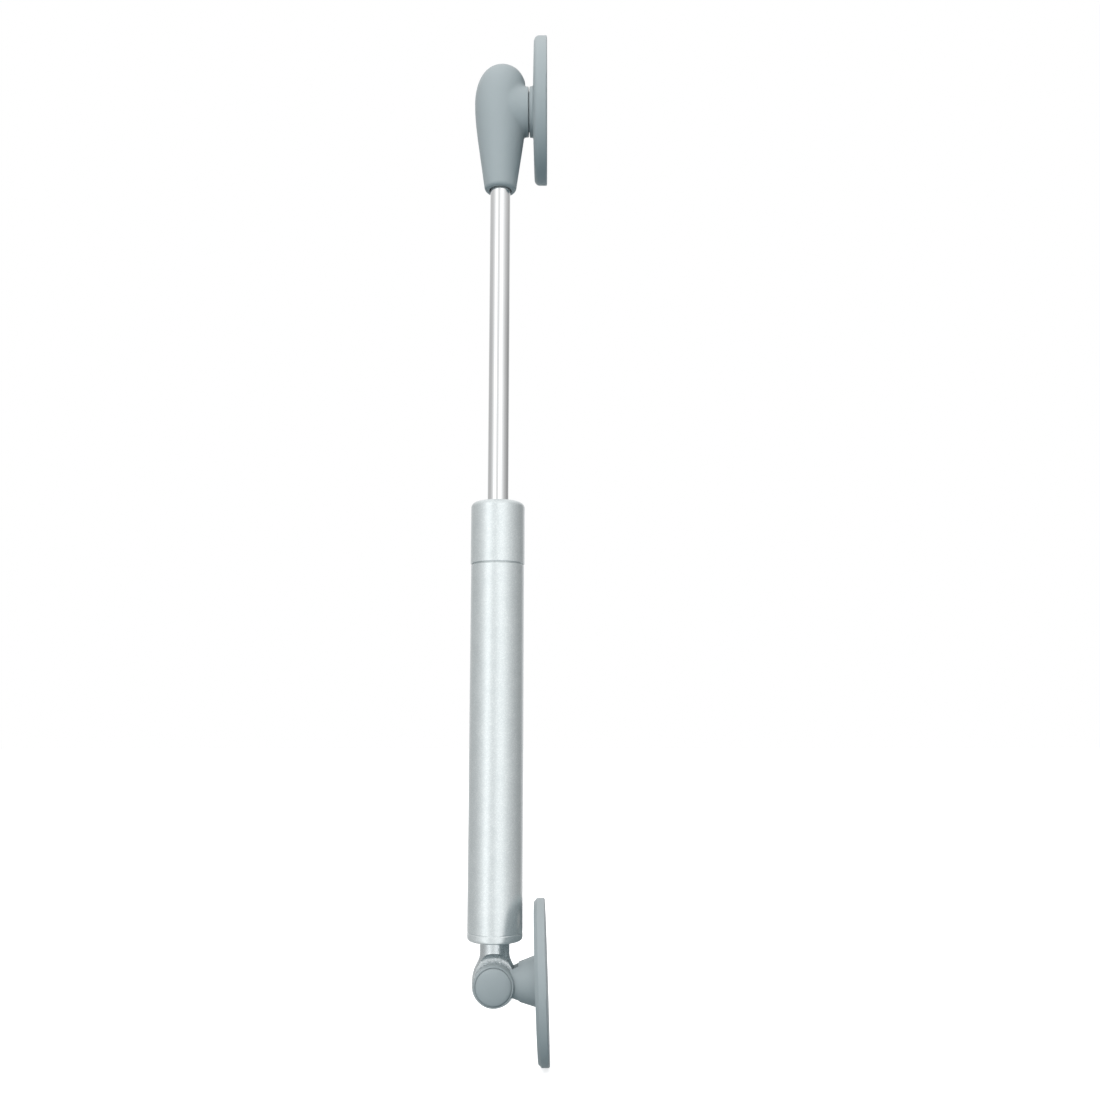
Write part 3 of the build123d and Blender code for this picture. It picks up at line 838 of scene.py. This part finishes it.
body_shares = np.linspace(0, 1, BODY_RINGS + 1)[1:]
over_body = [at_reach(reach + (landing - reach) * share) for share in body_shares]
start, goal = over_body[-1], about_x(COLLAR, COLLAR_WALL)
leave = unit(at_reach(landing - LANDING_STEP) - start)[0]
span = unit(goal - start)[1]
arrive = np.array([1.0, 0, 0])


def blend_curve(t):
    """A cubic Hermite curve from the body's skin to the collar's wall, tangent to both."""
    from_start = start * (1 + 2 * t) * (1 - t) ** 2 + leave * span * t * (1 - t) ** 2
    return from_start + goal * t ** 2 * (3 - 2 * t) + arrive * span * t ** 2 * (t - 1)


over_blend = [blend_curve(t) for t in np.linspace(0, 1, BLEND_RINGS + 1)[1:]]
collar_outline = rounded([
    (COLLAR, COLLAR_WALL, 0),
    (COLLAR, COLLAR_FACE, 0.15),
    (STUD_BORE, COLLAR_FACE, 0.25),
    (STUD_BORE, GROOVE_TOP, 0.05),
    (CLIP_GROOVE, GROOVE_TOP, 0.05),
    (CLIP_GROOVE, GROOVE_END, 0.05),
    (STUD_BORE, GROOVE_END, 0.05),
    (STUD_BORE, STUD_BORE_END, 0.2),
    (0, STUD_BORE_END, 0),
])
into_bore = [about_x(radius, x) for radius, x in collar_outline[1:]]
rings = np.stack(over_body + over_blend + into_bore)
patch_faces = between(np.vstack([window_frame, numbered(rings, numbers.size)]))
head_points = np.concatenate([body.reshape(-1, 3), rings.reshape(-1, 3)])
head_faces = np.concatenate([body_faces.reshape(-1, 4), patch_faces.reshape(-1, 4)])
add_piece("head_moulding", "rod_end_housing", head_points, head_faces)

# %% [markdown]
# ## The pin
# The pin holds the lower plate to the eye. Its front is a low dome, half an ellipse in
# section, and it sits in a shallow seat in the cheek. Its back end is split into four
# prongs with a snap ledge. Cutting the cross slot out with a boolean would leave slivers, so
# the pin is sewn from grids that share their edges: the turned front, a cross-shaped slot
# floor, and one tapered tube for each prong.


# %% Sewing grids together
def sewn(patches):
    """Points and quads of several open grids; the weld joins them where they share an edge."""
    first, quads = 0, []
    for rows in patches:
        numbers = numbered(rows, first)
        first += numbers.size
        corners = [numbers[:-1, :-1], numbers[:-1, 1:], numbers[1:, 1:], numbers[1:, :-1]]
        quads.append(np.stack(corners, axis=-1).reshape(-1, 4))
    return np.concatenate([rows.reshape(-1, 3) for rows in patches]), np.concatenate(quads)


def line(start, end, steps):
    """Points on a straight line, both ends included."""
    share = np.linspace(0, 1, steps + 1)[:, None]
    return np.array(start) * (1 - share) + np.array(end) * share


def at_height(places, z):
    """Points (x, y) at the height z."""
    return np.dstack([places, np.full(places.shape[:2], z)])


def quarter_turns(rows):
    """Four copies of a grid, each a quarter turn further about Z."""
    x, y, z = rows[..., 0], rows[..., 1], rows[..., 2]
    return [np.stack(c, axis=-1) for c in ((x, y, z), (-y, x, z), (-x, -y, z), (y, -x, z))]


# %% The pin's prongs
# The pin is made along Z, with its head below: SLOT is half the slot's width
PIN, SLOT, SLOT_FLOOR = 2.75, 0.5, 0.75
LEDGE, LEDGE_FOOT, LEDGE_EDGE, LEDGE_CREST, LEDGE_END = 3.0, 4.55, 4.56, 4.66, 5.45
TIP_START, TIP_BEND, TIP = 5.6, 5.7, 5.75
PRONG_MIDDLE = 1.35
ARC_STEPS, SIDE_STEPS, MOUTH_STEPS, DOME_STEPS = 18, 6, 6, 32


def quadrant(radius, inset, z):
    """The outline of one prong at one height, shrunk by the inset: an arc and two flat sides."""
    wall, outer = SLOT + inset, radius - inset
    open_angle = np.arcsin(wall / outer)
    turn = np.linspace(open_angle, np.pi / 2 - open_angle, ARC_STEPS + 1)
    arc = np.stack([outer * np.cos(turn), outer * np.sin(turn)], axis=-1)
    outline = np.concatenate([
        arc[:-1],
        line(arc[-1], (wall, wall), SIDE_STEPS)[:-1],
        line((wall, wall), arc[0], SIDE_STEPS),
    ])
    return np.column_stack([outline, np.full(len(outline), z)])


tip_middle = np.array([PRONG_MIDDLE, PRONG_MIDDLE, TIP])
prong = np.stack([
    quadrant(PIN, 0, SLOT_FLOOR),
    quadrant(PIN, 0, LEDGE_FOOT),
    quadrant(LEDGE, 0, LEDGE_EDGE),
    quadrant(LEDGE, 0, LEDGE_CREST),
    quadrant(PIN, 0, LEDGE_END),
    quadrant(PIN, 0, TIP_START),
    quadrant(PIN, 0.05, TIP_BEND),
    quadrant(PIN, 0.15, TIP),
])
prong = np.concatenate([prong, np.broadcast_to(tip_middle, (1, prong.shape[1], 3))])
print(f"a prong has {prong.shape[0]} rings of {prong.shape[1]} points")

# %% The slot's floor and the turned front
# The head's back ends in a small rounding, which is written out in three points
PIN_HEAD, HEAD_BACK = 4.8, -5.7
DOME_BASE, DOME_RISE = -6.0, 1.1

mouth_angle = np.arcsin(SLOT / PIN)
mouth = np.linspace(-mouth_angle, mouth_angle, MOUTH_STEPS + 1)
outer = np.stack([PIN * np.cos(mouth), PIN * np.sin(mouth)], axis=-1)
inner = line((SLOT, -SLOT), (SLOT, SLOT), MOUTH_STEPS)
share = np.linspace(0, 1, SIDE_STEPS + 1)[:, None, None]
slot_arm = at_height(outer * (1 - share) + inner * share, SLOT_FLOOR)
slot_middle = at_height(np.dstack(np.meshgrid(inner[:, 1], inner[:, 1])), SLOT_FLOOR)

dome_turn = np.linspace(0, np.pi / 2, DOME_STEPS + 1)
dome_r = PIN_HEAD * np.cos(dome_turn)
dome_r[-1] = 0
front = np.concatenate([
    [(PIN, SLOT_FLOOR), (PIN, -5.6), (PIN, HEAD_BACK)],
    [(4.6, HEAD_BACK), (4.74, -5.73), (4.79, -5.8)],
    np.stack([dome_r, DOME_BASE - DOME_RISE * np.sin(dome_turn)], axis=-1),
])
arc_turn = np.linspace(mouth_angle, np.pi / 2 - mouth_angle, ARC_STEPS + 1)
quarter = np.concatenate([mouth[:-1], arc_turn])
spokes = np.stack([np.cos(quarter), np.sin(quarter)], axis=-1)
front_z = np.broadcast_to(front[:, 1:], (len(front), len(quarter)))
shell = np.dstack([front[:, :1, None] * spokes, front_z])
print(f"the front has {shell.shape[0]} rings, {4 * (shell.shape[1] - 1)} points round")

# %% The pin in its place
PIN_Z = -252.4
PIN_TURN = radians(18)
PLATE_LEAN = radians(2)


def on_pin(points):
    """From the pin's own axis to its place: turned, laid along Y, and leaned with the plate."""
    x, y, z = points.T
    across = x * np.cos(PIN_TURN) - y * np.sin(PIN_TURN)
    down = x * np.sin(PIN_TURN) + y * np.cos(PIN_TURN)
    leaned_x = across * np.cos(PLATE_LEAN) + down * np.sin(PLATE_LEAN)
    leaned_z = across * np.sin(PLATE_LEAN) - down * np.cos(PLATE_LEAN)
    return np.stack([leaned_x, z, leaned_z + PIN_Z], axis=-1)


patches = [slot_middle]
for rows in (prong, slot_arm, shell):
    patches += quarter_turns(rows)
pin_points, pin_faces = sewn(patches)
add_piece("snap_pin", "clevis_pin", on_pin(pin_points), pin_faces)
